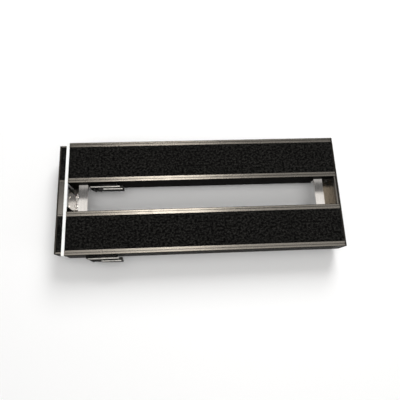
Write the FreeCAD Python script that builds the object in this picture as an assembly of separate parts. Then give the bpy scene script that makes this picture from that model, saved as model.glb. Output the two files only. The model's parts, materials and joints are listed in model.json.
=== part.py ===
import FreeCAD, Part
import os

# Telescoping one-row pedalboard.  All sizes are in millimetres.
#
# The outer section is two C-shaped rails joined by crossbars and an end plate.  The inner
# section is a second pair of rails that slides out of the outer pair's open end, which is on
# the left.  A cam lever on the front wall of each outer rail clamps the inner rail.
#
# The board is built with x = 0 at the open end of the outer rails, y = 0 at the front wall of
# the front rail and z = 0 on the floor, and is moved to its origin when it is saved.

# ---------------------------------------------------------------- driving dimensions

outer_length = 356.0        # outer section, without the glide plate
closed_reach = 13.4         # how far the closed inner section stands out on the left
travel = 254.0              # how far the inner section slides out
board_depth = 150.0
rail_width = 56.0
rail_height = 28.0
foot_height = 10.0

# Outer rail section
outer_wall = 2.4
outer_skin = 3.0            # top plate, at the lips
lip_width = 6.3
recess_depth = 1.5
lip_groove_width = 1.2
lip_groove_depth = 0.5
outer_flange_width = 7.0    # flange along each bottom edge
outer_flange_thick = 3.4
edge_radius = 0.8
port_inset = 1.6            # screw port's centre to the wall's inner face

# Inner rail section
slide_gap = 0.4             # inner rail to outer rail, on every side
inner_wall = 2.2
inner_lip_width = 2.2
inner_recess_depth = 1.9
inner_skin = 3.6
inner_flange_width = 8.4
inner_flange_thick = 3.0
inner_edge_radius = 0.5
inner_port_shift = 1.0
inner_tail_x = 338.0

# Hook-and-loop strips
loop_thick = 1.8
inner_loop_thick = 1.7
loop_side_gap = 0.2
loop_end_gap = 0.4
loop_edge_radius = 0.4

# Ends, crossbars and glides
glide_plate_thick = 3.6
glide_window_gap = 0.25
glide_corner_radius = 0.6
mouth_gap = 0.3             # glide plate to the closed inner section's channel
bridge_height = 2.6
end_plate_thick = 2.0
end_plate_corner_radius = 1.0
end_channel_thick = 2.0
end_channel_tongue = 11.0   # how far the lower flange runs into the centre gap
tongue_gap = 0.6
channel_rivet_spread = 14.0
right_channel_reach = 12.0
right_channel_top_gap = 1.0
right_channel_tab_height = 16.0
right_channel_screw_inset = 7.0
right_channel_screw_height = 11.0
tie_width = 23.0
tie_thick = 1.6
tie_bend_radius = 1.2
tie_tab_gap = 0.2
tie_foot_gap = 1.0
tie_rivet_spread = 6.44
tie_foot_rivet_x = 5.8
tie_top_rivet_x = -6.2
tie_blind_depth = 1.2       # of the top rivets in the channel, so that none shows from above
crossbar_width = 11.6
crossbar_thick = 2.5
crossbar_drop = 6.0         # crossbar top below the rail top
crossbar_tab = 14.0
crossbar_screw_drop = 8.68
crossbar_bend_radius = 1.5
crossbar_corner_radius = 2.0
crossbar_left_x = 13.2
crossbar_right_x = 325.6
tail_flange_thick = 4.0
tail_flange_gap = 0.2
tail_plug_length = 10.0
tail_corner_radius = 0.8
stop_clearance = 0.3

# Cam lock, measured outwards from the rail's front wall
lock_x = 23.4
lock_length = 38.6
lock_top_drop = 7.5         # lever top below the rail top
lock_height = 15.0
lock_sheet = 1.2
lock_flange = 3.2
lock_left_out = 2.6         # reach of the bracket's left end
crossbar_clearance = 0.4
pivot_x = 31.5
pivot_out = 4.6
pin_radius = 1.25
pin_head_radius = 2.1
pin_head_height = 0.6
pin_clearance = 0.05
ear_radius = 2.1
ear_tangent = (0.8, 0.6)    # where the ear's round end begins, in ear radii
ear_length = 5.0            # upper ear to the right of the pivot
upper_ear_drop = 5.4        # upper ear's top below the lever top
cam_radius = 2.6
cam_offset = 0.5
cam_gap = 0.3
neck_half = 1.6
neck_overlap = 2.0          # how far the neck runs on into the handle
neck_inset = 0.4
handle_x = 38.0
handle_tip_x = 71.0
handle_tip_out = 8.4
handle_root_out = 7.0
handle_tip_radius = 0.5
handle_height = 8.5
handle_floor = 2.0
grip_drop = 0.8             # the dark tip and shoulder below the lever's bright ribs
inner_rib_thick = 1.5
outer_rib_thick = 1.2
inner_rib_x = (27.4, 66.0)
inner_rib_out = 3.3
outer_rib_x = (44.5, 69.2)
outer_rib_out = 6.7
pocket_x = (46.5, 64.5)
handle_points = (           # plan outline of the handle, as (x, distance out)
    (handle_x, inner_rib_out), (inner_rib_x[1], inner_rib_out), (69.5, 2.8),
    (handle_tip_x, handle_tip_out), (50.0, 8.2), (44.0, 7.9), (handle_x, handle_root_out),
)
window_width = 8.0
window_height = 6.4
shoe_gap = 0.2
shoe_out = 1.3
shoe_in = 0.1               # shoe face to the inner rail, drawn just clear
shoe_corner_radius = 0.6
lock_rivet_insets = (6.0, 18.0)

# Feet
foot_plate_thick = 2.0
foot_plate_length = 28.0
foot_plate_side_gap = 0.5
foot_plate_corner_radius = 3.0
foot_screw_inset = (5.0, 3.4)   # from the plate's end and from the rail's side
foot_screw_depth = 3.0
foot_screw_head_radius = 2.2
rubber_radius = 12.0
rubber_taper = 1.2
rubber_edge_radius = 1.0
rubber_seat_thick = 2.0
rubber_hole_radius = 4.2
left_foot_x = 60.0
right_foot_x = 326.0
post_radius = 2.4
post_top_gap = 4.0
bumper_radius = 4.0
bumper_floor_gap = 1.0
bumper_top_gap = 4.5
bar_foot_side_gap = 1.0
bar_foot_end_gap = 0.4
bar_foot_corner_radius = 2.0
bar_foot_edge_radius = 0.8
block_screw_inset = 2.4
block_screw_head_radius = 2.1
block_hole_radius = 2.3
block_seat_height = 0.6     # screw seat above the outer rails' underside

# Fasteners
port_radius = 1.1           # screw ports in the bottom flanges
end_screw_length = 10.0
sunk_head_radius = 1.85
sunk_head_depth = 1.15
sunk_hole_radius = 1.9
sunk_hole_depth = 1.2
cross_slot_half = (1.2, 0.25)
cross_slot_depth = 0.6
screw_radius = 1.6
screw_head_radius = 3.0
head_height_ratio = 0.55    # of a screw head's radius
socket_radius_ratio = 0.5   # of a screw head's radius
socket_depth_ratio = 0.75   # of a screw head's height
head_round_ratio = 0.45     # of a screw head's height
rivet_radius = 1.5
rivet_head_radius = 2.7
rivet_head_height = 0.9
rivet_round = 0.63
rivet_dimple_radius = 0.825
rivet_dimple_depth = 0.45

overcut = 1.0               # how far a cutting tool runs past the face it enters

# ---------------------------------------------------------------- worked-out places

rail_bottom = foot_height
rail_top = foot_height + rail_height
rail_end_x = outer_length - end_plate_thick
gap_front = rail_width
gap_rear = board_depth - rail_width
gap_middle = board_depth / 2
rail_starts = {"front": 0.0, "rear": gap_rear}

cavity_top = rail_top - outer_skin
cavity_bottom = rail_bottom + outer_flange_thick
inner_inset = outer_wall + slide_gap
inner_top = cavity_top - slide_gap
inner_bottom = cavity_bottom + slide_gap
inner_left_x = -closed_reach + end_plate_thick
inner_skin_bottom = inner_top - inner_skin

glide_left_x = -glide_plate_thick
channel_right_x = glide_left_x - mouth_gap
tie_web_x = 0.2
lock_top = rail_top - lock_top_drop
lock_bottom = lock_top - lock_height
lock_middle = (lock_top + lock_bottom) / 2
upper_ear_top = lock_top - upper_ear_drop
cam_bottom = lock_bottom + lock_sheet + cam_gap
cam_top = upper_ear_top - lock_sheet - cam_gap
cam_middle = (cam_bottom + cam_top) / 2
stop_x = inner_tail_x - tail_plug_length - travel - bumper_radius - stop_clearance

front_reach = max(handle_tip_out, pivot_out + ear_radius)
origin_x = (outer_length - closed_reach) / 2
origin_y = (board_depth - front_reach) / 2

AXES = {"x": FreeCAD.Vector(1, 0, 0), "y": FreeCAD.Vector(0, 1, 0), "z": FreeCAD.Vector(0, 0, 1)}

# ---------------------------------------------------------------- shape helpers


def block(x_span, y_span, z_span):
    corner = FreeCAD.Vector(x_span[0], y_span[0], z_span[0])
    sides = [span[1] - span[0] for span in (x_span, y_span, z_span)]
    return Part.makeBox(sides[0], sides[1], sides[2], corner)


def rod(centre, axis, radius, length):
    """A round bar that starts at centre and runs along axis; a negative length runs back."""
    direction = AXES[axis] * (1 if length > 0 else -1)
    return Part.makeCylinder(radius, abs(length), FreeCAD.Vector(*centre), direction)


def prism(points, bottom, height):
    """A plan outline, given as (x, y) points, raised from bottom by height."""
    corners = [FreeCAD.Vector(x, y, bottom) for x, y in points]
    wire = Part.makePolygon(corners + corners[:1])
    return Part.Face(wire).extrude(FreeCAD.Vector(0, 0, height))


def cut_all(shape, tools):
    for tool in tools:
        shape = shape.cut(tool)
    return shape


def fuse_all(shapes):
    result = shapes[0]
    for shape in shapes[1:]:
        result = result.fuse(shape)
    return result.removeSplitter()


def is_along(edge, axis):
    if not isinstance(edge.Curve, Part.Line):
        return False
    return abs(edge.tangentAt(edge.FirstParameter).dot(AXES[axis])) > 0.999


def edges_where(shape, axis, test):
    """Straight edges along an axis whose middle point passes the test."""
    return [edge for edge in shape.Edges if is_along(edge, axis) and test(edge.CenterOfMass)]


def near(value, target):
    return abs(value - target) < 0.01


def rounded_block(x_span, y_span, z_span, radius, axis="z"):
    """A block whose four edges along one axis are rounded."""
    shape = block(x_span, y_span, z_span)
    return shape.makeFillet(radius, edges_where(shape, axis, lambda point: True))


def screw(head_centre, axis, sign, length, shank_radius=screw_radius, head_radius=screw_head_radius):
    """A low round-head screw.  Its head stands on head_centre and its shank runs into the part
    along sign times axis.  The head has a hexagonal socket."""
    head_height = head_radius * head_height_ratio
    socket_radius = head_radius * socket_radius_ratio
    socket_depth = head_height * socket_depth_ratio
    head = rod(head_centre, axis, head_radius, -sign * head_height)
    rim = [edge for edge in head.Edges if isinstance(edge.Curve, Part.Circle)]
    face = FreeCAD.Vector(*head_centre) - AXES[axis] * (sign * head_height)
    outer_rim = [edge for edge in rim if (edge.Curve.Center - face).Length < 0.01]
    head = head.makeFillet(head_height * head_round_ratio, outer_rim)
    shank = rod(head_centre, axis, shank_radius, sign * length)
    side = AXES["y"] if axis == "x" else AXES["x"]
    corners = []
    for index in range(6):
        turn = FreeCAD.Rotation(AXES[axis], index * 60)
        corners.append(face + turn.multVec(side) * socket_radius)
    socket_face = Part.Face(Part.makePolygon(corners + corners[:1]))
    socket = socket_face.extrude(AXES[axis] * (sign * socket_depth))
    return head.fuse(shank).cut(socket).removeSplitter()


def rivet(head_centre, axis, sign, length):
    """A blind rivet with a low domed head, set in the direction sign times axis."""
    head = rod(head_centre, axis, rivet_head_radius, -sign * rivet_head_height)
    face = FreeCAD.Vector(*head_centre) - AXES[axis] * (sign * rivet_head_height)
    rim = [edge for edge in head.Edges
           if isinstance(edge.Curve, Part.Circle) and (edge.Curve.Center - face).Length < 0.01]
    head = head.makeFillet(rivet_round, rim)
    shank = rod(head_centre, axis, rivet_radius, sign * length)
    dimple = rod(tuple(face), axis, rivet_dimple_radius, sign * rivet_dimple_depth)
    return head.fuse(shank).cut(dimple).removeSplitter()


# ---------------------------------------------------------------- rails


def flange_port_places(start, width, inset, flange_thick, bottom):
    """Centres (y, z) of the two screw ports in a rail's bottom flanges."""
    height = bottom + flange_thick / 2
    offset = inset + outer_wall + port_inset
    return [(start + offset, height), (start + width - offset, height)]


def outer_ports(start):
    return flange_port_places(start, rail_width, 0.0, outer_flange_thick, rail_bottom)


def inner_ports(start):
    inset = inner_inset - inner_port_shift
    return flange_port_places(start, rail_width, inset, inner_flange_thick, inner_bottom)


def lock_window(start):
    """The opening in a rail's front wall and lock bracket that the clamp shoe works through."""
    half_x = window_width / 2
    half_z = window_height / 2
    return block((pivot_x - half_x, pivot_x + half_x), (start - lock_sheet, start + outer_wall),
                 (cam_middle - half_z, cam_middle + half_z))


def crossbar_screw_places():
    """Centres (x, z) of the two screws in each crossbar tab."""
    height = rail_top - crossbar_drop - crossbar_screw_drop
    places = []
    for left in (crossbar_left_x, crossbar_right_x):
        places.append((left + crossbar_width / 2, height))
    return places


def lock_rivet_places():
    """Centres (x, z) of the rivets that hold a lock bracket to the rail's wall."""
    return [(lock_x + lock_length - inset, lock_middle) for inset in lock_rivet_insets]


def end_bracket_screw_places():
    """Centres (x, z) of the screws that hold the right end channel to the rails' inner walls."""
    return [(rail_end_x - right_channel_screw_inset, rail_bottom + right_channel_screw_height)]


def outer_rail(start):
    end = start + rail_width
    rail = block((0, rail_end_x), (start, end), (rail_bottom, rail_top))
    rail = rail.makeFillet(edge_radius, edges_where(
        rail, "x", lambda point: near(point.z, rail_top)))
    ends = (-overcut, rail_end_x + overcut)
    tools = [
        block(ends, (start + outer_wall, end - outer_wall), (cavity_bottom, cavity_top)),
        block(ends, (start + outer_flange_width, end - outer_flange_width),
              (rail_bottom - overcut, cavity_bottom + overcut)),
        block(ends, (start + lip_width, end - lip_width), (rail_top - recess_depth, rail_top + overcut)),
        lock_window(start),
    ]
    groove_offset = (lip_width - lip_groove_width) / 2
    for groove_start in (start + groove_offset, end - groove_offset - lip_groove_width):
        tools.append(block(ends, (groove_start, groove_start + lip_groove_width),
                           (rail_top - lip_groove_depth, rail_top + overcut)))
    for y, z in outer_ports(start):
        tools.append(rod((0, y, z), "x", port_radius, end_screw_length))
        tools.append(rod((rail_end_x, y, z), "x", port_radius, -end_screw_length))
    for x, z in lock_rivet_places():
        tools.append(rod((x, start, z), "y", rivet_radius, outer_wall))
    gap_wall = (end - outer_wall, outer_wall) if near(start, 0.0) else (start, outer_wall)
    for x, z in crossbar_screw_places() + end_bracket_screw_places():
        tools.append(rod((x, gap_wall[0], z), "y", screw_radius, gap_wall[1]))
    for plate_x in (left_foot_x, right_foot_x):
        for x, y in foot_plate_screw_places(plate_x, start):
            tools.append(rod((x, y, rail_bottom), "z", port_radius, foot_screw_depth))
    return cut_all(rail, tools)


def inner_rail(start):
    low = start + inner_inset
    high = start + rail_width - inner_inset
    rail = block((inner_left_x, inner_tail_x), (low, high), (inner_bottom, inner_top))
    rail = rail.makeFillet(inner_edge_radius, edges_where(
        rail, "x", lambda point: near(point.z, inner_top)))
    ends = (inner_left_x - overcut, inner_tail_x + overcut)
    tools = [
        block(ends, (low + inner_wall, high - inner_wall),
              (inner_bottom + inner_flange_thick, inner_skin_bottom)),
        block(ends, (low + inner_flange_width, high - inner_flange_width),
              (inner_bottom - overcut, inner_bottom + inner_flange_thick + overcut)),
        block(ends, (low + inner_lip_width, high - inner_lip_width),
              (inner_top - inner_recess_depth, inner_top + overcut)),
    ]
    for y, z in inner_ports(start):
        tools.append(rod((inner_left_x, y, z), "x", port_radius, end_screw_length))
        tools.append(rod((inner_tail_x, y, z), "x", port_radius, -end_screw_length))
    return cut_all(rail, tools)


def loop_strip(x_span, start, lip, bottom, thick):
    y_span = (start + lip + loop_side_gap, start + rail_width - lip - loop_side_gap)
    strip = block(x_span, y_span, (bottom, bottom + thick))
    top_edges = edges_where(strip, "x", lambda point: near(point.z, bottom + thick))
    return strip.makeFillet(loop_edge_radius, top_edges)


def outer_loop_strip(start):
    x_span = (loop_end_gap, rail_end_x - loop_end_gap)
    return loop_strip(x_span, start, lip_width, rail_top - recess_depth, loop_thick)


def inner_loop_strip(start):
    x_span = (inner_left_x + loop_end_gap, inner_tail_x - loop_end_gap)
    bottom = inner_top - inner_recess_depth
    return loop_strip(x_span, start, inner_inset + inner_lip_width, bottom, inner_loop_thick)


# ---------------------------------------------------------------- outer section's fittings


def glide_plate():
    """The acetal plate at the open end: a window round each inner rail and a bridge between."""
    x_span = (glide_left_x, 0)
    plate = rounded_block(x_span, (0, board_depth), (rail_bottom, rail_top), glide_corner_radius, "x")
    grow = glide_window_gap
    tools = [block(x_span, (gap_front, gap_rear), (rail_bottom - overcut, rail_top - bridge_height))]
    for start in rail_starts.values():
        tools.append(block(x_span, (start + inner_inset - grow, start + rail_width - inner_inset + grow),
                           (inner_bottom - grow, inner_top + grow)))
        for y, z in outer_ports(start):
            tools.append(rod((0, y, z), "x", port_radius, -glide_plate_thick))
            tools.append(rod((glide_left_x, y, z), "x", sunk_hole_radius, sunk_hole_depth))
    return cut_all(plate, tools)


def flush_screw(face_x, y, z, sign):
    """A flat-head tapping screw whose head is sunk flush in an end face."""
    head = rod((face_x, y, z), "x", sunk_head_radius, sign * sunk_head_depth)
    shape = head.fuse(rod((face_x, y, z), "x", port_radius, sign * end_screw_length))
    x_span = (face_x - cross_slot_depth, face_x + cross_slot_depth)
    for half_y, half_z in (cross_slot_half, cross_slot_half[::-1]):
        shape = shape.cut(block(x_span, (y - half_y, y + half_y), (z - half_z, z + half_z)))
    return shape.removeSplitter()


def glide_plate_screws():
    return [flush_screw(glide_left_x, y, z, 1)
            for start in rail_starts.values() for y, z in outer_ports(start)]


def end_plate(x_span, y_span, top, ports, inward):
    """A flat plate across the rails' ends, with its screw holes sunk from outside."""
    plate = rounded_block(x_span, y_span, (rail_bottom, top), end_plate_corner_radius, "x")
    outside = x_span[1] if inward < 0 else x_span[0]
    tools = []
    for y, z in ports:
        tools.append(rod((outside, y, z), "x", port_radius, inward * end_plate_thick))
        tools.append(rod((outside, y, z), "x", sunk_hole_radius, inward * sunk_hole_depth))
    return cut_all(plate, tools)


def right_end_ports():
    return [port for start in rail_starts.values() for port in outer_ports(start)]


def left_end_ports():
    return [port for start in rail_starts.values() for port in inner_ports(start)]


def right_end_plate():
    return end_plate((rail_end_x, outer_length), (0, board_depth), rail_top, right_end_ports(), -1)


def left_end_plate():
    plate = end_plate((-closed_reach, inner_left_x), (inner_inset, board_depth - inner_inset),
                      inner_top, left_end_ports(), 1)
    return cut_all(plate, [rod((-closed_reach, y, z), "x", rivet_radius, end_plate_thick)
                           for y, z in channel_rivet_places()])


def right_end_screws():
    return [flush_screw(outer_length, y, z, -1) for y, z in right_end_ports()]


def left_end_screws():
    return [flush_screw(-closed_reach, y, z, 1) for y, z in left_end_ports()]


def right_end_channel():
    """The channel inside the right end plate: an upright, a lower flange and two end tabs."""
    wall = end_channel_thick
    gap = (gap_front, gap_rear)
    reach = (rail_end_x - right_channel_reach, rail_end_x)
    upright = block((rail_end_x - wall, rail_end_x), gap, (rail_bottom, rail_top - right_channel_top_gap))
    floor = block(reach, gap, (rail_bottom, rail_bottom + wall))
    parts = [upright, floor]
    tab_top = rail_bottom + right_channel_tab_height
    for y_span in ((gap_front, gap_front + wall), (gap_rear - wall, gap_rear)):
        parts.append(block(reach, y_span, (rail_bottom, tab_top)))
    channel = fuse_all(parts)
    tools = []
    for x, z in end_bracket_screw_places():
        tools.append(rod((x, gap_front, z), "y", screw_radius, gap_rear - gap_front))
    return cut_all(channel, tools)


def right_channel_screws():
    screws = []
    for x, z in end_bracket_screw_places():
        screws.append(screw((x, gap_front + end_channel_thick, z), "y", -1,
                            end_channel_thick + outer_wall))
        screws.append(screw((x, gap_rear - end_channel_thick, z), "y", 1,
                            end_channel_thick + outer_wall))
    return screws


def crossbar(left):
    """A flat bar across the gap with a tab turned down against each rail."""
    x_span = (left, left + crossbar_width)
    top = rail_top - crossbar_drop
    bar = block(x_span, (gap_front, gap_rear), (top - crossbar_thick, top))
    tabs = [block(x_span, y_span, (top - crossbar_tab, top)) for y_span in (
        (gap_front, gap_front + crossbar_thick), (gap_rear - crossbar_thick, gap_rear))]
    shape = fuse_all([bar] + tabs)
    inside = edges_where(shape, "x", lambda point: near(point.z, top - crossbar_thick))
    shape = shape.makeFillet(crossbar_bend_radius, inside)
    lower_corners = edges_where(shape, "y", lambda point: near(point.z, top - crossbar_tab))
    shape = shape.makeFillet(crossbar_corner_radius, lower_corners)
    tools = []
    for x, z in crossbar_screw_places():
        tools.append(rod((x, gap_front, z), "y", screw_radius, gap_rear - gap_front))
    return cut_all(shape, tools)


def crossbar_screws():
    screws = []
    for x, z in crossbar_screw_places():
        screws.append(screw((x, gap_front + crossbar_thick, z), "y", -1, crossbar_thick + outer_wall))
        screws.append(screw((x, gap_rear - crossbar_thick, z), "y", 1, crossbar_thick + outer_wall))
    return screws


# ---------------------------------------------------------------- cam locks


def lock_plan(start, points):
    """Turn lock outline points, given as (x, distance out from the wall), into board (x, y)."""
    return [(x, start - out) for x, out in points]


def ear_outline(right, right_out):
    """Plan outline of a bracket ear: from the wall, round the pivot, to the given right end."""
    tip_half = ear_radius * ear_tangent[0]
    tip_out = pivot_out + ear_radius * ear_tangent[1]
    return [(lock_x, 0.0), (right, 0.0), (right, right_out), (pivot_x + tip_half, tip_out),
            (pivot_x - tip_half, tip_out), (lock_x, lock_left_out)]


def lock_bracket(start):
    """A pressed bracket: a base on the wall, a folded lower flange and a pair of pivot ears."""
    right = lock_x + lock_length
    ear_right = pivot_x + ear_length
    base = block((lock_x, right), (start - lock_sheet, start), (lock_bottom, lock_top - grip_drop))
    lower = ear_outline(right, lock_flange)
    lower.insert(3, (ear_right, lock_flange))
    upper = ear_outline(ear_right, lock_sheet)
    parts = [base]
    for outline, bottom in ((lower, lock_bottom), (upper, upper_ear_top - lock_sheet)):
        parts.append(prism(lock_plan(start, outline), bottom, lock_sheet))
        parts.append(rod((pivot_x, start - pivot_out, bottom), "z", ear_radius, lock_sheet))
    shape = fuse_all(parts)
    swing_room = block((lock_x, handle_x), (start - lock_sheet, start), (upper_ear_top, lock_top))
    pin_hole = rod((pivot_x, start - pivot_out, lock_bottom), "z", pin_radius, lock_height)
    crossbar_room = block((crossbar_left_x, crossbar_left_x + crossbar_width + crossbar_clearance),
                          (gap_front, gap_rear), (lock_bottom, lock_top))
    tools = [lock_window(start), swing_room, pin_hole, crossbar_room]
    for x, z in lock_rivet_places():
        tools.append(rod((x, start - lock_sheet, z), "y", rivet_radius, lock_sheet))
    return cut_all(shape, tools)


def lock_rivets():
    rivets = []
    for start in rail_starts.values():
        for x, z in lock_rivet_places():
            rivets.append(rivet((x, start - lock_sheet, z), "y", 1, lock_sheet + outer_wall))
    return rivets


def lock_pin(start):
    """The lever's pivot pin, which has a low head under the lower ear."""
    centre = (pivot_x, start - pivot_out, lock_bottom)
    shank = rod(centre, "z", pin_radius, upper_ear_top - lock_bottom)
    head = rod(centre, "z", pin_head_radius, -pin_head_height)
    rim = [edge for edge in head.Edges if near(edge.CenterOfMass.z, lock_bottom - pin_head_height)]
    head = head.makeFillet(pin_head_height / 2, rim)
    return fuse_all([shank, head])


def lock_lever(start):
    """The cam, its neck between the ears, and a hollow handle with two bright ribs on top."""
    cam_height = cam_top - cam_bottom
    cam = rod((pivot_x, start - pivot_out + cam_offset, cam_bottom), "z", cam_radius, cam_height)
    neck_points = [(pivot_x, pivot_out + neck_half), (pivot_x, pivot_out - neck_half),
                   (handle_x + neck_overlap, inner_rib_out + neck_inset),
                   (handle_x + neck_overlap, handle_root_out)]
    neck = prism(lock_plan(start, neck_points), cam_bottom, cam_height)
    handle_bottom = lock_top - handle_height
    handle = prism(lock_plan(start, handle_points), handle_bottom, handle_height - grip_drop)
    inner_rib = block(inner_rib_x, (start - inner_rib_out - inner_rib_thick, start - inner_rib_out),
                      (upper_ear_top + cam_gap, lock_top))
    outer_rib = block(outer_rib_x, (start - outer_rib_out - outer_rib_thick, start - outer_rib_out),
                      (handle_bottom, lock_top))
    shape = fuse_all([cam, neck, handle, inner_rib, outer_rib])
    tips = edges_where(shape, "z", lambda point: point.x > inner_rib_x[1] + outer_rib_thick)
    shape = shape.makeFillet(handle_tip_radius, tips)
    pocket = block(pocket_x, (start - outer_rib_out, start - inner_rib_out - inner_rib_thick),
                   (handle_bottom + handle_floor, lock_top))
    bore = rod((pivot_x, start - pivot_out, cam_bottom), "z", pin_radius + pin_clearance, cam_height)
    return cut_all(shape, [pocket, bore])


def lock_shoe(start):
    """The friction shoe between the cam and the inner rail's wall."""
    half_x = window_width / 2 - shoe_gap
    half_z = window_height / 2 - shoe_gap
    y_span = (start - shoe_out, start + inner_inset - shoe_in)
    shoe = block((pivot_x - half_x, pivot_x + half_x), y_span, (cam_middle - half_z, cam_middle + half_z))
    return shoe.makeFillet(shoe_corner_radius, edges_where(shoe, "y", lambda point: True))


# ---------------------------------------------------------------- inner section's fittings


def end_channel():
    """The channel between the inner rails: web, top flange, and a lower flange whose tongue
    runs on under the bridge into the centre gap."""
    wall = end_channel_thick
    low = gap_front - inner_inset
    high = gap_rear + inner_inset
    web = block((inner_left_x, inner_left_x + wall), (low, high), (rail_bottom, inner_top))
    top = block((inner_left_x, channel_right_x), (low, high), (inner_top - wall, inner_top))
    floor = block((inner_left_x, channel_right_x), (low, high), (rail_bottom, rail_bottom + wall))
    tongue = block((channel_right_x, end_channel_tongue), (gap_front + tongue_gap, gap_rear - tongue_gap),
                   (rail_bottom, rail_bottom + wall))
    channel = fuse_all([web, top, floor, tongue])
    tools = [rod((x, y, rail_bottom), "z", rivet_radius, wall) for x, y in tie_rivet_places()[:2]]
    tools += [rod((x, y, inner_top - wall), "z", rivet_radius, tie_blind_depth)
              for x, y in tie_rivet_places()[2:]]
    for y, z in channel_rivet_places():
        tools.append(rod((inner_left_x, y, z), "x", rivet_radius, wall))
    return cut_all(channel, tools)


def tie_rivet_places():
    """Centres (x, y) of the tie bracket's rivets: two in its foot and two in its top tab."""
    return [(x, y) for x in (tie_foot_rivet_x, tie_top_rivet_x)
            for y in (gap_middle - tie_rivet_spread, gap_middle + tie_rivet_spread)]


def tie_bracket():
    """A bright folded strip: top tab under the channel, upright web, foot on the lower flange."""
    y_span = (gap_middle - tie_width / 2, gap_middle + tie_width / 2)
    top = inner_top - end_channel_thick
    foot = rail_bottom + end_channel_thick
    tab = block((inner_left_x + end_channel_thick + tie_tab_gap, tie_web_x), y_span, (top - tie_thick, top))
    web = block((tie_web_x - tie_thick, tie_web_x), y_span, (foot, top))
    leg = block((tie_web_x - tie_thick, end_channel_tongue - tie_foot_gap), y_span, (foot, foot + tie_thick))
    bracket = fuse_all([tab, web, leg])
    bend_edges = edges_where(bracket, "y", lambda point: near(point.x, tie_web_x) and point.z > top - 0.01)
    bracket = bracket.makeFillet(tie_bend_radius, bend_edges)
    tools = [rod((x, y, foot), "z", rivet_radius, tie_thick) for x, y in tie_rivet_places()[:2]]
    tools += [rod((x, y, top), "z", rivet_radius, -tie_thick) for x, y in tie_rivet_places()[2:]]
    return cut_all(bracket, tools)


def tie_rivets():
    foot = rail_bottom + end_channel_thick + tie_thick
    top = inner_top - end_channel_thick - tie_thick
    foot_length = tie_thick + end_channel_thick
    top_length = tie_thick + tie_blind_depth
    rivets = [rivet((x, y, foot), "z", -1, foot_length) for x, y in tie_rivet_places()[:2]]
    rivets += [rivet((x, y, top), "z", 1, top_length) for x, y in tie_rivet_places()[2:]]
    return rivets


def channel_rivet_places():
    """Centres (y, z) of the rivets that hold the end plate to the channel's web."""
    height = (rail_bottom + inner_top) / 2
    return [(gap_middle - channel_rivet_spread, height), (gap_middle + channel_rivet_spread, height)]


def channel_rivets():
    return [rivet((inner_left_x + end_channel_thick, y, z), "x", -1, end_plate_thick + end_channel_thick)
            for y, z in channel_rivet_places()]


def tail_glide(start):
    """The acetal glide at the inner rail's tail: a plug in the rail and a flange behind it."""
    low = start + outer_wall + tail_flange_gap
    high = start + rail_width - outer_wall - tail_flange_gap
    flange = rounded_block((inner_tail_x, inner_tail_x + tail_flange_thick), (low, high),
                           (cavity_bottom + tail_flange_gap, cavity_top - tail_flange_gap),
                           tail_corner_radius, "x")
    plug_low = start + inner_inset + inner_wall
    plug_high = start + rail_width - inner_inset - inner_wall
    plug = block((inner_tail_x - tail_plug_length, inner_tail_x), (plug_low, plug_high),
                 (inner_bottom + inner_flange_thick, inner_skin_bottom))
    tools = []
    for y, z in inner_ports(start):
        tools.append(rod((inner_tail_x, y, z), "x", port_radius, tail_flange_thick))
        tools.append(rod((inner_tail_x + tail_flange_thick, y, z), "x", sunk_hole_radius, -sunk_hole_depth))
    return cut_all(flange.fuse(plug).removeSplitter(), tools)


def tail_glide_screws():
    return [flush_screw(inner_tail_x + tail_flange_thick, y, z, -1) for y, z in left_end_ports()]


# ---------------------------------------------------------------- feet


def foot_plate_screw_places(plate_x, start):
    """Centres (x, y) of the four screws that hold a foot plate to the rail's bottom flanges."""
    spread_x = foot_plate_length / 2 - foot_screw_inset[0]
    inset_y = foot_screw_inset[1]
    return [(plate_x + dx, y) for dx in (-spread_x, spread_x)
            for y in (start + inset_y, start + rail_width - inset_y)]


def foot_plate(plate_x, start):
    half = foot_plate_length / 2
    y_span = (start + foot_plate_side_gap, start + rail_width - foot_plate_side_gap)
    plate = rounded_block((plate_x - half, plate_x + half), y_span,
                          (rail_bottom - foot_plate_thick, rail_bottom), foot_plate_corner_radius, "z")
    centre_y = start + rail_width / 2
    tools = [rod((x, y, rail_bottom), "z", port_radius, -foot_plate_thick)
             for x, y in foot_plate_screw_places(plate_x, start)]
    tools.append(rod((plate_x, centre_y, rail_bottom), "z", screw_radius, -foot_plate_thick))
    if plate_x < outer_length / 2:
        tools.append(rod((stop_x, centre_y, rail_bottom), "z", post_radius, -foot_plate_thick))
    return cut_all(plate, tools)


def foot_plate_screws(places):
    screws = []
    for plate_x, start in places:
        for x, y in foot_plate_screw_places(plate_x, start):
            screws.append(screw((x, y, rail_bottom - foot_plate_thick), "z", 1,
                                foot_plate_thick + foot_screw_depth, port_radius, foot_screw_head_radius))
    return screws


def rubber_foot(plate_x, start):
    """A round foot that widens upwards, with a deep hole for its screw."""
    centre = FreeCAD.Vector(plate_x, start + rail_width / 2, 0)
    height = foot_height - foot_plate_thick
    foot = Part.makeCone(rubber_radius - rubber_taper, rubber_radius, height, centre)
    rim = [edge for edge in foot.Edges
           if isinstance(edge.Curve, Part.Circle) and near(edge.CenterOfMass.z, 0.0)]
    foot = foot.makeFillet(rubber_edge_radius, rim)
    head_hole = rod((centre.x, centre.y, 0), "z", rubber_hole_radius, height - rubber_seat_thick)
    shank_hole = rod((centre.x, centre.y, 0), "z", screw_radius, height)
    return foot.cut(head_hole).cut(shank_hole)


def rubber_foot_screws(places):
    length = rubber_seat_thick + foot_plate_thick
    seat = foot_height - length
    return [screw((plate_x, start + rail_width / 2, seat), "z", 1, length) for plate_x, start in places]


def stop_post(start):
    """The steel post in a left foot plate that ends the inner section's travel."""
    centre_y = start + rail_width / 2
    bottom = rail_bottom - foot_plate_thick
    top = inner_skin_bottom - post_top_gap
    return rod((stop_x, centre_y, bottom), "z", post_radius, top - bottom)


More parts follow.
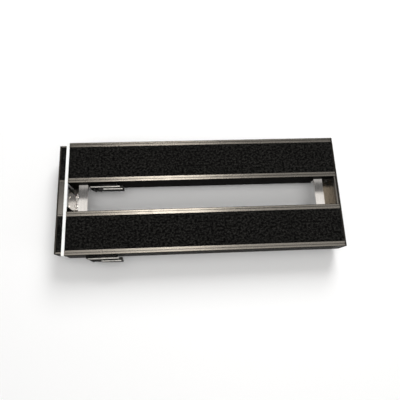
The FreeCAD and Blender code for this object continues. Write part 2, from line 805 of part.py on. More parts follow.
def stop_bumper(start):
    """The rubber sleeve on a stop post."""
    centre_y = start + rail_width / 2
    bottom = cavity_bottom + bumper_floor_gap
    top = inner_skin_bottom - bumper_top_gap
    sleeve = rod((stop_x, centre_y, bottom), "z", bumper_radius, top - bottom)
    return sleeve.cut(rod((stop_x, centre_y, bottom), "z", post_radius, top - bottom))


def bar_foot_span(start):
    """The y range of an inner rail's spacer and bar foot."""
    inset = inner_inset + bar_foot_side_gap
    return (start + inset, start + rail_width - inset)


def inner_foot_block(start):
    """The spacer between an inner rail's bottom flanges and its rubber foot."""
    body = block((inner_left_x, channel_right_x), bar_foot_span(start),
                 (rail_bottom - foot_plate_thick, inner_bottom))
    tools = []
    for x, y in inner_foot_screw_places(start):
        tools.append(rod((x, y, 0), "z", port_radius, inner_bottom))
        tools.append(rod((x, y, 0), "z", block_hole_radius, rail_bottom + block_seat_height))
    return cut_all(body, tools)


def inner_foot_screw_places(start):
    x = (inner_left_x + channel_right_x) / 2
    offset = inner_inset + inner_flange_width - block_screw_inset
    return [(x, start + offset), (x, start + rail_width - offset)]


def inner_foot_screws():
    seat = rail_bottom + block_seat_height
    length = inner_bottom - seat
    return [screw((x, y, seat), "z", 1, length, port_radius, block_screw_head_radius)
            for start in rail_starts.values() for x, y in inner_foot_screw_places(start)]


def inner_rubber_foot(start):
    """A bar foot bonded under the spacer."""
    x_span = (-closed_reach + bar_foot_end_gap, channel_right_x)
    top = rail_bottom - foot_plate_thick
    foot = rounded_block(x_span, bar_foot_span(start), (0, top), bar_foot_corner_radius, "z")
    low_edges = [edge for edge in foot.Edges if near(edge.CenterOfMass.z, 0.0)]
    return foot.makeFillet(bar_foot_edge_radius, low_edges)


# ---------------------------------------------------------------- saving

foot_places = {
    "left_front": (left_foot_x, rail_starts["front"]),
    "left_rear": (left_foot_x, rail_starts["rear"]),
    "right_front": (right_foot_x, rail_starts["front"]),
    "right_rear": (right_foot_x, rail_starts["rear"]),
}


def build_nodes():
    nodes = {}
    for side, start in rail_starts.items():
        nodes["outer_rail_" + side] = [outer_rail(start)]
        nodes["loop_strip_outer_" + side] = [outer_loop_strip(start)]
        nodes["lock_bracket_" + side] = [lock_bracket(start)]
        nodes["lock_pin_" + side] = [lock_pin(start)]
        nodes["lock_lever_" + side] = [lock_lever(start)]
        nodes["lock_shoe_" + side] = [lock_shoe(start)]
        nodes["stop_post_" + side] = [stop_post(start)]
        nodes["stop_bumper_" + side] = [stop_bumper(start)]
        nodes["inner_rail_" + side] = [inner_rail(start)]
        nodes["loop_strip_inner_" + side] = [inner_loop_strip(start)]
        nodes["tail_glide_" + side] = [tail_glide(start)]
        nodes["inner_foot_block_" + side] = [inner_foot_block(start)]
        nodes["inner_rubber_foot_" + side] = [inner_rubber_foot(start)]
    for place, (plate_x, start) in foot_places.items():
        nodes["foot_plate_" + place] = [foot_plate(plate_x, start)]
        nodes["rubber_foot_" + place] = [rubber_foot(plate_x, start)]
    nodes["glide_plate"] = [glide_plate()]
    nodes["glide_plate_screws"] = glide_plate_screws()
    nodes["right_end_plate"] = [right_end_plate()]
    nodes["right_end_screws"] = right_end_screws()
    nodes["right_end_channel"] = [right_end_channel()]
    nodes["right_channel_screws"] = right_channel_screws()
    nodes["crossbar_left"] = [crossbar(crossbar_left_x)]
    nodes["crossbar_right"] = [crossbar(crossbar_right_x)]
    nodes["crossbar_screws"] = crossbar_screws()
    nodes["lock_rivets"] = lock_rivets()
    nodes["left_end_plate"] = [left_end_plate()]
    nodes["left_end_screws"] = left_end_screws()
    nodes["end_channel"] = [end_channel()]
    nodes["channel_rivets"] = channel_rivets()
    nodes["tie_bracket"] = [tie_bracket()]
    nodes["tie_rivets"] = tie_rivets()
    nodes["tail_glide_screws"] = tail_glide_screws()
    nodes["foot_plate_screws"] = foot_plate_screws(foot_places.values())
    nodes["rubber_foot_screws"] = rubber_foot_screws(foot_places.values())
    nodes["inner_foot_screws"] = inner_foot_screws()
    return nodes


def save(name, solids):
    shape = solids[0] if len(solids) == 1 else Part.makeCompound(solids)
    moved = shape.translated(FreeCAD.Vector(-origin_x, -origin_y, 0))
    moved.exportStep("parts/" + name + ".step")
    return moved


def main():
    os.makedirs("parts", exist_ok=True)
    whole = FreeCAD.BoundBox()
    for name, solids in build_nodes().items():
        moved = save(name, solids)
        whole.add(moved.BoundBox)
        valid = moved.isValid() and all(len(solid.Solids) == 1 for solid in solids)
        print(name, len(moved.Solids), "ok" if valid else "CHECK", round(moved.Volume, 1))
    print("box", [round(value, 2) for value in (
        whole.XMin, whole.XMax, whole.YMin, whole.YMax, whole.ZMin, whole.ZMax)])


main()
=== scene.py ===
import json
import math
import random

import bpy
from mathutils import Euler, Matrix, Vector, noise


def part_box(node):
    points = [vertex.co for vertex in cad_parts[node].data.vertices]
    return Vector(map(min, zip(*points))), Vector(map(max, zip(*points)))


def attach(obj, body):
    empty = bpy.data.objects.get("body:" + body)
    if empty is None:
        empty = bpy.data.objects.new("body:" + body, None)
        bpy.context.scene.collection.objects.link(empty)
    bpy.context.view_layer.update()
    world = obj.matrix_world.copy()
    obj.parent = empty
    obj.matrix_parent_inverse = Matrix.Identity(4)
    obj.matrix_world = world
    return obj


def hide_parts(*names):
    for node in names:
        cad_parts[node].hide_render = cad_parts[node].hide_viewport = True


# Telescoping one-row pedalboard: the looks around the CAD frame.  All sizes are in metres.

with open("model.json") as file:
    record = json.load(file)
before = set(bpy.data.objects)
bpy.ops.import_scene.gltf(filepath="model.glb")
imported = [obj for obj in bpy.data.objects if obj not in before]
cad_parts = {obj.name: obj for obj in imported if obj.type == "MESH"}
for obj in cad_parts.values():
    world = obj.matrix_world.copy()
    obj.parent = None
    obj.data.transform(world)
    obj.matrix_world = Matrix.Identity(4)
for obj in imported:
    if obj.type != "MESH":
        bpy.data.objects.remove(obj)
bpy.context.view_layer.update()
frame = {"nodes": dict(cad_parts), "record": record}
nodes = frame["nodes"]
scene = bpy.context.scene

MM = 0.001


# ---------------------------------------------------------------- camera

CAMERA_PLACE = (-0.02523, -0.12726, 0.50077)
CAMERA_TURN = (14.923, -2.411, -2.329)     # degrees about X, Y and Z
CAMERA_LENS = 33.21
SENSOR_WIDTH = 36.0
CAMERA_CLIP = (0.01, 50.0)


def add_camera():
    data = bpy.data.cameras.new("camera")
    data.lens = CAMERA_LENS
    data.sensor_width = SENSOR_WIDTH
    data.clip_start, data.clip_end = CAMERA_CLIP
    camera = bpy.data.objects.new("camera", data)
    camera.location = CAMERA_PLACE
    camera.rotation_euler = Euler([math.radians(a) for a in CAMERA_TURN], "XYZ")
    scene.collection.objects.link(camera)
    scene.camera = camera


# ---------------------------------------------------------------- materials

RAIL_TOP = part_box("outer_rail_front")[1][2]
GROOVE_DEPTHS = (0.3 * MM, 0.7 * MM)       # the lip grooves' floors lie between these
LEVER_RUB_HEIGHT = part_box("lock_lever_front")[1][2] - 0.4 * MM   # only the ribs reach above it


class Surface:
    """A node material: one Principled shader, and short ways to add textures to it."""

    def __init__(self, name, colour, roughness, metallic=0.0, **sockets):
        self.material = bpy.data.materials.new(name)
        self.material.use_nodes = True
        self.tree = self.material.node_tree
        self.shader = self.tree.nodes["Principled BSDF"]
        self.normal = None
        self.set("Base Color", (*colour, 1.0))
        self.set("Roughness", roughness)
        self.set("Metallic", metallic)
        for socket, value in sockets.items():
            self.set(socket.replace("_", " "), value)
        self.material.diffuse_color = (*colour, 1.0)

    def set(self, socket, value):
        self.shader.inputs[socket].default_value = value

    def feed(self, socket, output):
        self.tree.links.new(output, self.shader.inputs[socket])

    def add(self, kind, inputs=None, **settings):
        """A node, with its settings and inputs.

        An input is a number, a colour or another node's output.
        """
        node = self.tree.nodes.new(kind)
        for key, value in settings.items():
            setattr(node, key, value)
        for key, value in (inputs or {}).items():
            if isinstance(value, bpy.types.NodeSocket):
                self.tree.links.new(value, node.inputs[key])
            else:
                node.inputs[key].default_value = value
        return node

    def place(self, stretch=(1, 1, 1), turn=0.0):
        """Object coordinates, stretched, and turned about Z by an angle in degrees."""
        source = self.add("ShaderNodeTexCoord")
        inputs = {
            "Vector": source.outputs["Object"],
            "Rotation": (0.0, 0.0, math.radians(turn)),
            "Scale": stretch,
        }
        return self.add("ShaderNodeMapping", inputs).outputs["Vector"]

    def noise(self, scale, stretch=(1, 1, 1), detail=4.0, rough=0.55, turn=0.0):
        inputs = {
            "Vector": self.place(stretch, turn),
            "Scale": scale,
            "Detail": detail,
            "Roughness": rough,
        }
        return self.add("ShaderNodeTexNoise", inputs).outputs["Fac"]

    def cells(self, scale, stretch=(1, 1, 1), feature="F1", turn=0.0):
        inputs = {"Vector": self.place(stretch, turn), "Scale": scale}
        return self.add("ShaderNodeTexVoronoi", inputs, feature=feature).outputs["Distance"]

    def math(self, operation, a, b=0.0, clamp=False):
        node = self.add("ShaderNodeMath", {0: a, 1: b}, operation=operation)
        node.use_clamp = clamp
        return node.outputs["Value"]

    def remap(self, value, low, high, to_low=0.0, to_high=1.0):
        inputs = {
            "Value": value,
            "From Min": low,
            "From Max": high,
            "To Min": to_low,
            "To Max": to_high,
        }
        return self.add("ShaderNodeMapRange", inputs).outputs["Result"]

    def blend(self, factor, a, b):
        """Colour a where the factor is 0, and b where it is 1."""
        inputs = {"Factor": factor, 6: a, 7: b}
        return self.add("ShaderNodeMix", inputs, data_type="RGBA").outputs[2]

    def shade(self, colour, factor):
        """A colour output made darker or lighter by a factor."""
        inputs = {0: colour, 1: (factor, factor, factor)}
        return self.add("ShaderNodeVectorMath", inputs, operation="MULTIPLY").outputs["Vector"]

    def bump(self, height, depth, strength=1.0):
        """Relief of that depth in metres, on top of any relief that was added before."""
        inputs = {"Height": height, "Distance": depth, "Strength": strength}
        if self.normal is not None:
            inputs["Normal"] = self.normal
        self.normal = self.add("ShaderNodeBump", inputs).outputs["Normal"]
        self.feed("Normal", self.normal)

    def edges(self, radius, low=0.02, high=0.2):
        """1 along convex and concave edges, 0 on the faces between them."""
        rounded = self.add("ShaderNodeBevel", {"Radius": radius}, samples=6)
        flat = self.add("ShaderNodeNewGeometry")
        inputs = {0: rounded.outputs["Normal"], 1: flat.outputs["Normal"]}
        dot = self.add("ShaderNodeVectorMath", inputs, operation="DOT_PRODUCT")
        away = self.math("SUBTRACT", 1.0, dot.outputs["Value"])
        return self.remap(away, low, high)

    def scratches(self, scale, stretch, turn, width=0.01):
        """1 on a few short thin lines."""
        lines = self.cells(scale, stretch, "DISTANCE_TO_EDGE", turn)
        thin = self.remap(lines, 0.0, width, 1.0, 0.0)
        where = self.remap(self.noise(scale * 1.6, detail=2.0, turn=turn + 17.0), 0.6, 0.68)
        return self.math("MULTIPLY", thin, where, clamp=True)

    def height(self):
        """Height above the floor, at rest."""
        inputs = {"Vector": self.add("ShaderNodeTexCoord").outputs["Object"]}
        return self.add("ShaderNodeSeparateXYZ", inputs).outputs["Z"]

    def faces_up(self):
        """1 on faces that look straight up, 0 on walls and undersides."""
        inputs = {"Vector": self.add("ShaderNodeTexCoord").outputs["Normal"]}
        return self.remap(self.add("ShaderNodeSeparateXYZ", inputs).outputs["Z"], 0.9, 0.98)


def tint(colour, factor):
    return (*[min(1.0, c * factor) for c in colour], 1.0)


def anodised(name, wall, top, roughness, grain_axis=0, glancing=0.1):
    """Anodised extrusion: walls painted dark as shade, upper faces painted paler as a highlight,
    die lines along one axis.

    The last value is how much of its usual sheen it keeps at a glancing angle.
    """
    surface = Surface(name, top, roughness, metallic=0.85, Specular_IOR_Level=0.04)
    surface.set("Specular Tint", (glancing, glancing * 0.92, glancing * 0.82, 1.0))
    stretch = [1.0, 1.0, 1.0]
    stretch[grain_axis] = 0.004
    die_lines = surface.noise(1500.0, stretch, detail=5.0, rough=0.65)
    etch = surface.noise(5200.0, detail=2.0)
    cloud = surface.noise(22.0, detail=5.0)
    handling = surface.noise(70.0, detail=6.0, rough=0.7)
    marks = surface.scratches(46.0, (0.5, 1.6, 1.0), 23.0)
    wear_noise = surface.remap(surface.noise(420.0, detail=6.0, rough=0.7), 0.35, 0.62)
    worn = surface.math("MULTIPLY", surface.edges(0.35 * MM), wear_noise, clamp=True)
    up = surface.faces_up()
    below_lip = surface.math("LESS_THAN", surface.height(), RAIL_TOP - GROOVE_DEPTHS[0])
    above_recess = surface.math("GREATER_THAN", surface.height(), RAIL_TOP - GROOVE_DEPTHS[1])
    groove = surface.math("MULTIPLY", below_lip, above_recess)

    # Painted shade and highlight: groove floors are painted darker towards the wall colour as
    # shade, and faces that look up get the paler top colour as a highlight while walls keep the
    # dark colour as shade.
    groove_shaded_top = surface.blend(surface.math("MULTIPLY", groove, 0.6), (*top, 1.0), (*wall, 1.0))
    lit_tops_shaded_walls = surface.blend(up, (*wall, 1.0), groove_shaded_top)
    clouded = surface.blend(surface.remap(cloud, 0.3, 0.7), lit_tops_shaded_walls, surface.shade(lit_tops_shaded_walls, 0.86))
    lined = surface.blend(surface.remap(die_lines, 0.35, 0.65), surface.shade(lit_tops_shaded_walls, 0.9), clouded)
    marked = surface.blend(surface.math("MULTIPLY", marks, 0.16), lined, (0.3, 0.29, 0.28, 1.0))
    wear = surface.math("MULTIPLY", worn, surface.remap(up, 0.0, 1.0, 0.12, 0.35))
    surface.feed("Base Color", surface.blend(wear, marked, (0.42, 0.405, 0.38, 1.0)))

    rough = surface.remap(handling, 0.3, 0.75, roughness * 0.86, roughness * 1.2)
    rough = surface.math("ADD", rough, surface.remap(die_lines, 0.3, 0.7, -0.03, 0.04))
    rough = surface.math("SUBTRACT", rough, surface.math("MULTIPLY", worn, 0.1), clamp=True)
    surface.feed("Roughness", rough)
    surface.bump(die_lines, 0.003 * MM, 0.5)
    surface.bump(etch, 0.002 * MM, 0.5)
    return surface.material


def brushed(name, colour, roughness, grain_axis):
    """Bare satin aluminium, brushed along one axis, with scratches and dull patches."""
    surface = Surface(name, colour, roughness, metallic=1.0)
    stretch = [1.0, 1.0, 1.0]
    stretch[grain_axis] = 0.012
    brush = surface.noise(2600.0, stretch, detail=6.0, rough=0.7)
    broad = surface.noise(420.0, stretch, detail=3.0)
    dull = surface.noise(60.0, detail=5.0, rough=0.65)
    turn = 0.0 if grain_axis == 0 else 90.0
    scratched = surface.scratches(60.0, (0.25, 1.8, 1.0), turn + 12.0, 0.008)
    marks = surface.math("MULTIPLY", scratched, 0.6)

    body = surface.blend(surface.remap(brush, 0.3, 0.7), tint(colour, 0.8), tint(colour, 1.06))
    patchy = surface.blend(surface.remap(dull, 0.45, 0.75, 0.0, 0.35), body, tint(colour, 0.72))
    surface.feed("Base Color", surface.blend(marks, patchy, tint(colour, 1.15)))
    rough = surface.remap(dull, 0.3, 0.7, roughness * 0.85, roughness * 1.25)
    rough = surface.math("ADD", rough, surface.remap(broad, 0.3, 0.7, -0.005, 0.01))
    surface.feed("Roughness", rough)
    surface.bump(brush, 0.0003 * MM, 0.5)
    surface.bump(marks, 0.001 * MM, 0.5)
    return surface.material


def coated(name, colour, roughness, bare=(0.46, 0.45, 0.44), rubbed_above=None):
    """Powder coat: orange-peel relief, fine speckle and bare metal rubbed out at the edges.

    Where a height is given, faces that look up above it are rubbed bare too.
    """
    surface = Surface(name, colour, roughness, metallic=0.6, Specular_IOR_Level=0.2)
    surface.set("Specular Tint", (0.0, 0.0, 0.0, 1.0))
    peel = surface.noise(900.0, detail=2.0)
    speckle = surface.cells(2600.0)
    dust = surface.noise(45.0, detail=6.0, rough=0.7)
    wear_noise = surface.remap(surface.noise(500.0, detail=6.0, rough=0.72), 0.44, 0.6)
    worn = surface.math("MULTIPLY", surface.edges(0.3 * MM, 0.04, 0.25), wear_noise, clamp=True)

    body = surface.blend(surface.remap(speckle, 0.1, 0.7), tint(colour, 1.35), tint(colour, 0.8))
    dusty = surface.blend(surface.remap(dust, 0.5, 0.85, 0.0, 0.25), body, tint(colour, 2.2))
    if rubbed_above is not None:
        high = surface.math("GREATER_THAN", surface.height(), rubbed_above)
        patch = surface.remap(surface.noise(260.0, detail=5.0), 0.3, 0.55, 0.55, 1.0)
        rubbed = surface.math("MULTIPLY", surface.math("MULTIPLY", high, surface.faces_up()), patch)
        worn = surface.math("MAXIMUM", surface.math("MULTIPLY", worn, 0.5), rubbed)
    surface.feed("Base Color", surface.blend(worn, dusty, (*bare, 1.0)))
    surface.feed("Roughness", surface.remap(dust, 0.3, 0.75, roughness * 0.88, roughness * 1.15))
    surface.bump(peel, 0.03 * MM, 0.45)
    surface.bump(speckle, 0.006 * MM, 0.4)
    return surface.material


def moulded(name, colour, roughness, grain=1400.0, relief=0.02, **sockets):
    """Moulded or machined plastic: spark-eroded grain, flow clouds and rubbed, shinier edges."""
    surface = Surface(name, colour, roughness, **sockets)
    texture = surface.cells(grain, feature="SMOOTH_F1")
    fine = surface.noise(grain * 2.4, detail=2.0)
    cloud = surface.noise(28.0, detail=5.0)
    soil = surface.noise(150.0, detail=6.0, rough=0.7)
    rubbed = surface.edges(0.35 * MM)

    body = surface.blend(surface.remap(cloud, 0.3, 0.7), tint(colour, 0.93), tint(colour, 1.05))
    soiled = surface.blend(surface.remap(soil, 0.52, 0.8, 0.0, 0.3), body, tint(colour, 0.72))
    half_rubbed = surface.math("MULTIPLY", rubbed, 0.5)
    surface.feed("Base Color", surface.blend(half_rubbed, soiled, tint(colour, 1.3)))
    rough = surface.remap(soil, 0.3, 0.75, roughness * 0.9, roughness * 1.18)
    shine = surface.math("MULTIPLY", rubbed, 0.1)
    surface.feed("Roughness", surface.math("SUBTRACT", rough, shine))
    surface.bump(texture, relief * MM, 0.5)
    surface.bump(fine, relief * 0.3 * MM, 0.5)
    return surface.material


def plated(name, colour, roughness):
    """Plated steel fasteners: crystalline plating, fine tool marks, darker stains and paler edges.
    """
    surface = Surface(name, colour, roughness, metallic=1.0)
    crystal = surface.cells(1500.0)
    tool = surface.noise(3200.0, (1, 0.15, 1), detail=4.0)
    stain = surface.noise(260.0, detail=5.0, rough=0.65)
    edge = surface.edges(0.25 * MM)

    body = surface.blend(surface.remap(crystal, 0.1, 0.7), tint(colour, 1.15), tint(colour, 0.82))
    stained = surface.blend(surface.remap(stain, 0.5, 0.8, 0.0, 0.5), body, tint(colour, 0.5))
    bright_edge = surface.math("MULTIPLY", edge, 0.6)
    surface.feed("Base Color", surface.blend(bright_edge, stained, tint(colour, 1.8)))
    surface.feed("Roughness", surface.remap(stain, 0.3, 0.75, roughness * 0.85, roughness * 1.3))
    surface.bump(tool, 0.008 * MM, 0.5)
    surface.bump(crystal, 0.004 * MM, 0.4)
    return surface.material


def rubber(name, colour):
    """Soft moulded rubber: matt skin, fine pores, and pale dust on it."""
    surface = Surface(name, colour, 0.78, Sheen_Weight=0.15, Sheen_Roughness=0.6)
    pores = surface.cells(2100.0)
    skin = surface.noise(700.0, detail=4.0)
    dust = surface.noise(120.0, detail=6.0, rough=0.75)

    body = surface.blend(surface.remap(skin, 0.3, 0.7), tint(colour, 0.8), tint(colour, 1.2))
    dusty = surface.remap(dust, 0.52, 0.85, 0.0, 0.3)
    surface.feed("Base Color", surface.blend(dusty, body, tint(colour, 3.0)))
    surface.feed("Roughness", surface.remap(dust, 0.3, 0.7, 0.7, 0.88))
    surface.bump(skin, 0.04 * MM, 0.5)
    surface.bump(pores, 0.015 * MM, 0.5)
    return surface.material


def loop_fabric(name, colour):
    """Hook-and-loop pile: tight curls of yarn over a knitted back, with a little lint."""
    surface = Surface(
        name, colour, 0.95, Sheen_Weight=0.02, Sheen_Roughness=0.5, Specular_IOR_Level=0.08
    )
    surface.set("Sheen Tint", (0.32, 0.31, 0.3, 1.0))
    curls = surface.cells(1300.0, (1.0, 1.25, 1.0), "SMOOTH_F1")
    yarn = surface.noise(3400.0, detail=5.0, rough=0.75)
    tufts = surface.noise(950.0, detail=3.0, rough=0.7)
    mottle = surface.noise(340.0, (1.0, 1.2, 1.0), detail=3.0)
    nap_shade_streaks = surface.noise(38.0, (0.4, 1.0, 1.0), detail=4.0)
    specks = surface.remap(surface.cells(190.0), 0.0, 0.16, 1.0, 0.0)
    lint = surface.remap(surface.cells(120.0), 0.0, 0.04, 1.0, 0.0)

    patches = surface.remap(mottle, 0.41, 0.61)
    ground = surface.blend(patches, tint(colour, 0.15), tint(colour, 3.4))
    # Painted shade and light: the tuft relief's low parts are painted darker as shade and its
    # raised tufts paler as light.
    depth = surface.remap(tufts, 0.38, 0.62)
    tufts_lit_and_shaded = surface.blend(depth, surface.shade(ground, 0.3), surface.shade(ground, 1.9))
    curled = surface.blend(surface.remap(curls, 0.12, 0.62), surface.shade(tufts_lit_and_shaded, 1.6), tufts_lit_and_shaded)
    # Painted shade: broad streaks where the pile lies another way are painted darker.
    stroked = surface.remap(nap_shade_streaks, 0.35, 0.68, 0.0, 0.35)
    shaded = surface.blend(stroked, curled, surface.shade(curled, 0.5))
    specked = surface.blend(surface.math("MULTIPLY", specks, 0.5), shaded, tint(colour, 8.0))
    linted = surface.math("MULTIPLY", lint, 0.4)
    surface.feed("Base Color", surface.blend(linted, specked, (0.1, 0.1, 0.097, 1.0)))
    surface.feed("Roughness", surface.remap(yarn, 0.3, 0.7, 0.86, 1.0))
    surface.bump(tufts, 0.35 * MM, 0.6)
    surface.bump(curls, 0.25 * MM, 0.6)
    surface.bump(yarn, 0.08 * MM, 0.6)
    return surface.material


def make_materials():
    # The rail's dark and taupe and the frame's satin_wall and satin_top are one finish each: the
    # tops are painted paler as a highlight and the walls darker as shade.
    dark = (0.045, 0.041, 0.036)
    taupe = (0.245, 0.226, 0.2)
    satin_wall = (0.19, 0.178, 0.16)
    satin_top = (0.235, 0.22, 0.2)
    coat = (0.02, 0.0195, 0.019)
    rubbed_steel = (0.42, 0.41, 0.39)
    white = (0.93, 0.93, 0.91)
    return {
        "rail": anodised("rail_anodised", dark, taupe, 0.27, 0, 0.05),
        "frame": anodised("frame_anodised", satin_wall, satin_top, 0.17, 1, 0.8),
        "end_plate": anodised("end_plate_anodised", dark, dark, 0.4, 1),
        "crossbar": brushed("crossbar_satin", (0.8, 0.77, 0.74), 0.05, grain_axis=1),
        "loop": loop_fabric("loop_pile", (0.0038, 0.0037, 0.0034)),
        "glide": moulded("glide_acetal", white, 0.36, 2600.0, 0.006, Subsurface_Weight=0.05),
        "lever": coated("lever_coated_steel", coat, 0.36, rubbed_steel, LEVER_RUB_HEIGHT),
        "lock": coated("lock_coated_steel", coat, 0.4),
        "shoe": moulded("shoe_urethane", (0.09, 0.088, 0.085), 0.6, 1500.0, 0.02),
        "steel": plated("steel_plated", (0.11, 0.107, 0.103), 0.34),
        "foot_plate": coated("foot_plate_coat", (0.04, 0.04, 0.04), 0.45),
        "rubber": rubber("rubber_black", (0.024, 0.024, 0.024)),
        "spacer": moulded("spacer_nylon", (0.035, 0.034, 0.033), 0.5, 1300.0, 0.02),
    }


def dress_cad_nodes(materials):
    """Gives every CAD node the material of its slot in the record."""
    for part in frame["record"]["subparts"]:
        mesh_object = nodes[part["node"]]
        for holder in mesh_object.material_slots:
            holder.material = materials[part["material_slot"]]


# ---------------------------------------------------------------- loop strips

GRID_STEP = 1.1 * MM          # of the strip's top surface
EDGE_ROLL = 1.3 * MM          # width over which the cut edge falls away
EDGE_FALL = 0.45 * MM
PILE_RELIEF = 0.16 * MM
RELIEF_SCALES = (260.0, 900.0)   # coarse and fine, in waves per metre
RELIEF_DROP = 0.35               # how far its middle lies below the CAD top, in reliefs
LOOP_PITCH = 1.45 * MM
LOOP_JITTER = 0.45               # in pitches
LOOP_SEGMENTS = 4
LOOP_SPANS = (0.45, 0.8)         # half the distance between a loop's feet, in mm
LOOP_HEIGHTS = (0.5, 1.0)        # in lifts
LOOP_LEANS = (-0.4, 0.4)         # in mm
LOOP_HALF_WIDTHS = (0.06, 0.1)   # in mm
LOOP_ROOT = 0.1 * MM             # depth of its feet below the surface
LOOP_TWIST = 0.5                 # how far the ribbon tilts towards its feet
STRIP_KINDS = (
    # place, body, lift of the tallest loops, first random seed
    ("outer", "outer_frame", 0.55 * MM, 11),
    ("inner", "inner_frame", 0.3 * MM, 21),
)


def pile_height(x, y, low, high):
    """Height of the strip's top surface at a point, below the top of its CAD solid."""
    inset = min(x - low.x, high.x - x, y - low.y, high.y - y)
    fall = max(0.0, 1.0 - inset / EDGE_ROLL) ** 2 * EDGE_FALL
    coarse = noise.noise(Vector((x, y, 0.0)) * RELIEF_SCALES[0])
    fine = noise.noise(Vector((x, y, 5.0)) * RELIEF_SCALES[1])
    relief = PILE_RELIEF * (0.5 * coarse + 0.5 * fine - RELIEF_DROP)
    return high.z + relief - fall


def strip_mesh(name, low, high):
    """A closed, thin sheet: a pile surface on top, a flat back, and cut edges between them."""
    columns = round((high.x - low.x) / GRID_STEP)
    rows = round((high.y - low.y) / GRID_STEP)
    points, faces = [], []
    for j in range(rows + 1):
        y = low.y + (high.y - low.y) * j / rows
        for i in range(columns + 1):
            x = low.x + (high.x - low.x) * i / columns
            points.append((x, y, pile_height(x, y, low, high)))
    wide = columns + 1
    for j in range(rows):
        for i in range(columns):
            a = j * wide + i
            faces.append((a, a + 1, a + wide + 1, a + wide))
    rim = [i for i in range(wide)]
    rim += [j * wide + columns for j in range(1, rows + 1)]
    rim += [rows * wide + i for i in range(columns - 1, -1, -1)]
    rim += [j * wide for j in range(rows - 1, 0, -1)]
    back = len(points)
    points += [(points[k][0], points[k][1], low.z) for k in rim]
    count = len(rim)
    for k in range(count):
        after = (k + 1) % count
        faces.append((rim[after], rim[k], back + k, back + after))
    faces.append(tuple(back + k for k in reversed(range(count))))
    mesh = bpy.data.meshes.new(name)
    mesh.from_pydata(points, [], faces)
    mesh.shade_smooth()
    return mesh


def pile_mesh(name, low, high, seed, lift):
    """Small arched ribbons of yarn, one loop each, standing in the strip's top surface."""
    maker = random.Random(seed)
    points, faces = [], []
    columns = int((high.x - low.x - EDGE_ROLL) / LOOP_PITCH)
    rows = int((high.y - low.y - EDGE_ROLL) / LOOP_PITCH)
    for j in range(rows):
        for i in range(columns):
            x = low.x + EDGE_ROLL + (i + maker.uniform(-LOOP_JITTER, LOOP_JITTER)) * LOOP_PITCH
            y = low.y + EDGE_ROLL + (j + maker.uniform(-LOOP_JITTER, LOOP_JITTER)) * LOOP_PITCH
            x = min(max(x, low.x + EDGE_ROLL), high.x - EDGE_ROLL)
            y = min(max(y, low.y + EDGE_ROLL), high.y - EDGE_ROLL)
            add_loop(points, faces, maker, x, y, pile_height(x, y, low, high), lift)
    mesh = bpy.data.meshes.new(name)
    mesh.from_pydata(points, [], faces)
    mesh.shade_smooth()
    return mesh


def add_loop(points, faces, maker, x, y, ground, lift):
    """One ribbon that rises from a point on the ground, arches over and comes down again."""
    angle = maker.uniform(0.0, math.pi)
    along = Vector((math.cos(angle), math.sin(angle), 0.0))
    across = Vector((-along.y, along.x, 0.0))
    span = maker.uniform(*LOOP_SPANS) * MM
    height = maker.uniform(*LOOP_HEIGHTS) * lift
    lean = maker.uniform(*LOOP_LEANS) * MM
    half_width = maker.uniform(*LOOP_HALF_WIDTHS) * MM
    up = Vector((0.0, 0.0, 1.0))
    start = len(points)
    for k in range(LOOP_SEGMENTS + 1):
        turn = math.pi * k / LOOP_SEGMENTS
        rise = math.sin(turn)
        centre = Vector((x, y, ground - LOOP_ROOT)) + along * (span * math.cos(turn))
        centre += across * (lean * rise) + up * ((height + LOOP_ROOT) * rise)
        side = (across + up * (LOOP_TWIST * math.cos(turn))).normalized() * half_width
        points.append(tuple(centre - side))
        points.append(tuple(centre + side))
    for k in range(LOOP_SEGMENTS):
        a = start + 2 * k
        faces.append((a, a + 1, a + 3, a + 2))


def add_loop_strip(place, side, body, lift, seed, material):
    """A strip's cloth and its loops, in place of the strip's plain CAD solid."""
    node = f"loop_strip_{place}_{side}"
    low, high = (Vector(corner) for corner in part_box(node))
    cloth = strip_mesh(node + "_sheet", low, high)
    pile = pile_mesh(node + "_loops", low, high, seed, lift)
    sheet = bpy.data.objects.new(f"pile_sheet_{place}_{side}", cloth)
    loops = bpy.data.objects.new(f"pile_loops_{place}_{side}", pile)
    for piece in (sheet, loops):
        scene.collection.objects.link(piece)
        piece.data.materials.append(material)
        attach(piece, body)
    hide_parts(node)


# ---------------------------------------------------------------- floor and light

FLOOR_REACH = 6.0
FLOOR_FADE = (0.35, 1.05)         # distance over which the floor turns into the backdrop
FLOOR_WHITE = (0.95, 0.95, 0.95)
BACKDROP = (1.0, 1.0, 1.0)
AMBIENT = (0.16, 0.16, 0.16)
BLACK = (0.0, 0.0, 0.0, 1.0)
AIM = Vector((0.0, 0.0, 0.02))
LIGHTS = (
    # name, centre, size across and along, turn about Z in degrees or None to face AIM, radiance,
    # colour, and what it lights: "gloss" is reflections only and "diffuse" matt shading only
    ("overhead", (0.0, -0.265, 1.05), (1.5, 1.1), 0.0, 0.85, (1.0, 0.985, 0.96), "all"),
    ("back_panel", (0.145, 0.47, 1.05), (1.21, 0.28), 0.0, 0.35, (1.0, 0.985, 0.96), "all"),
    ("highlight_strip", (-0.09, 0.28, 1.1), (0.34, 0.38), 6.0, 8.2, (1.0, 0.965, 0.91), "gloss"),
    ("top_fill", (0.0, -0.2, 1.3), (0.8, 0.8), 0.0, 1.4, (1.0, 1.0, 1.0), "diffuse"),
    ("rear", (0.42, 1.18, 1.1), (0.8, 0.9), None, 9.8, (1.0, 1.0, 1.0), "diffuse"),
    ("left_fill", (-1.6, -0.6, 0.7), (0.8, 0.8), None, 1.8, (1.0, 1.0, 1.0), "all"),
    ("right_fill", (1.6, -0.6, 0.7), (0.8, 0.8), None, 1.8, (1.0, 1.0, 1.0), "all"),
)


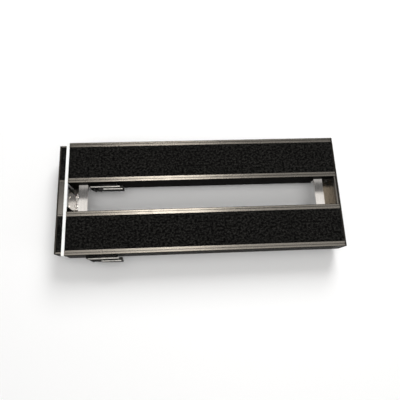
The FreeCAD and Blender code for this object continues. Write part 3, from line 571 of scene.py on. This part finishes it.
def add_floor():
    """White paper that turns into the backdrop with distance, so that no horizon shows."""
    mesh = bpy.data.meshes.new("floor")
    r = FLOOR_REACH
    mesh.from_pydata([(-r, -r, 0.0), (r, -r, 0.0), (r, r, 0.0), (-r, r, 0.0)], [], [(0, 1, 2, 3)])
    floor = bpy.data.objects.new("floor", mesh)
    scene.collection.objects.link(floor)
    surface = Surface("floor_paper", FLOOR_WHITE, 0.7, Specular_IOR_Level=0.1)
    surface.bump(surface.noise(180.0, detail=6.0), 0.05 * MM, 0.2)
    inputs = {0: surface.add("ShaderNodeTexCoord").outputs["Object"]}
    distance = surface.add("ShaderNodeVectorMath", inputs, operation="LENGTH").outputs["Value"]
    far = surface.remap(distance, *FLOOR_FADE)
    surface.feed("Base Color", surface.blend(far, (*FLOOR_WHITE, 1.0), BLACK))
    surface.feed("Emission Color", surface.blend(far, BLACK, (*BACKDROP, 1.0)))
    surface.set("Emission Strength", 1.0)
    mesh.materials.append(surface.material)


def add_lights():
    for name, centre, (across, along), turn, radiance, colour, lit in LIGHTS:
        data = bpy.data.lights.new(name, "AREA")
        data.shape = "RECTANGLE"
        data.size = across
        data.size_y = along
        data.energy = radiance * math.pi * across * along
        data.color = colour
        light = bpy.data.objects.new(name, data)
        light.location = centre
        light.visible_diffuse = lit != "gloss"
        light.visible_glossy = lit != "diffuse"
        if turn is None:
            light.rotation_euler = (AIM - Vector(centre)).to_track_quat("-Z", "Y").to_euler()
        else:
            light.rotation_euler = (0.0, 0.0, math.radians(turn))
        scene.collection.objects.link(light)


def add_world():
    """Pale to the camera, and dimmer as ambient light so that the metal keeps its contrast."""
    world = bpy.data.worlds.new("studio")
    world.use_nodes = True
    tree = world.node_tree
    seen = tree.nodes["Background"]
    seen.inputs["Color"].default_value = (*BACKDROP, 1.0)
    ambient = tree.nodes.new("ShaderNodeBackground")
    ambient.inputs["Color"].default_value = (*AMBIENT, 1.0)
    path = tree.nodes.new("ShaderNodeLightPath")
    mix = tree.nodes.new("ShaderNodeMixShader")
    tree.links.new(path.outputs["Is Camera Ray"], mix.inputs["Fac"])
    tree.links.new(ambient.outputs["Background"], mix.inputs[1])
    tree.links.new(seen.outputs["Background"], mix.inputs[2])
    tree.links.new(mix.outputs["Shader"], tree.nodes["World Output"].inputs["Surface"])
    scene.world = world


# ---------------------------------------------------------------- the scene

add_camera()
materials = make_materials()
dress_cad_nodes(materials)
for number, side in enumerate(("front", "rear")):
    for place, body, lift, first_seed in STRIP_KINDS:
        add_loop_strip(place, side, body, lift, first_seed + number, materials["loop"])
add_floor()
add_lights()
add_world()
scene.view_settings.view_transform = "Standard"
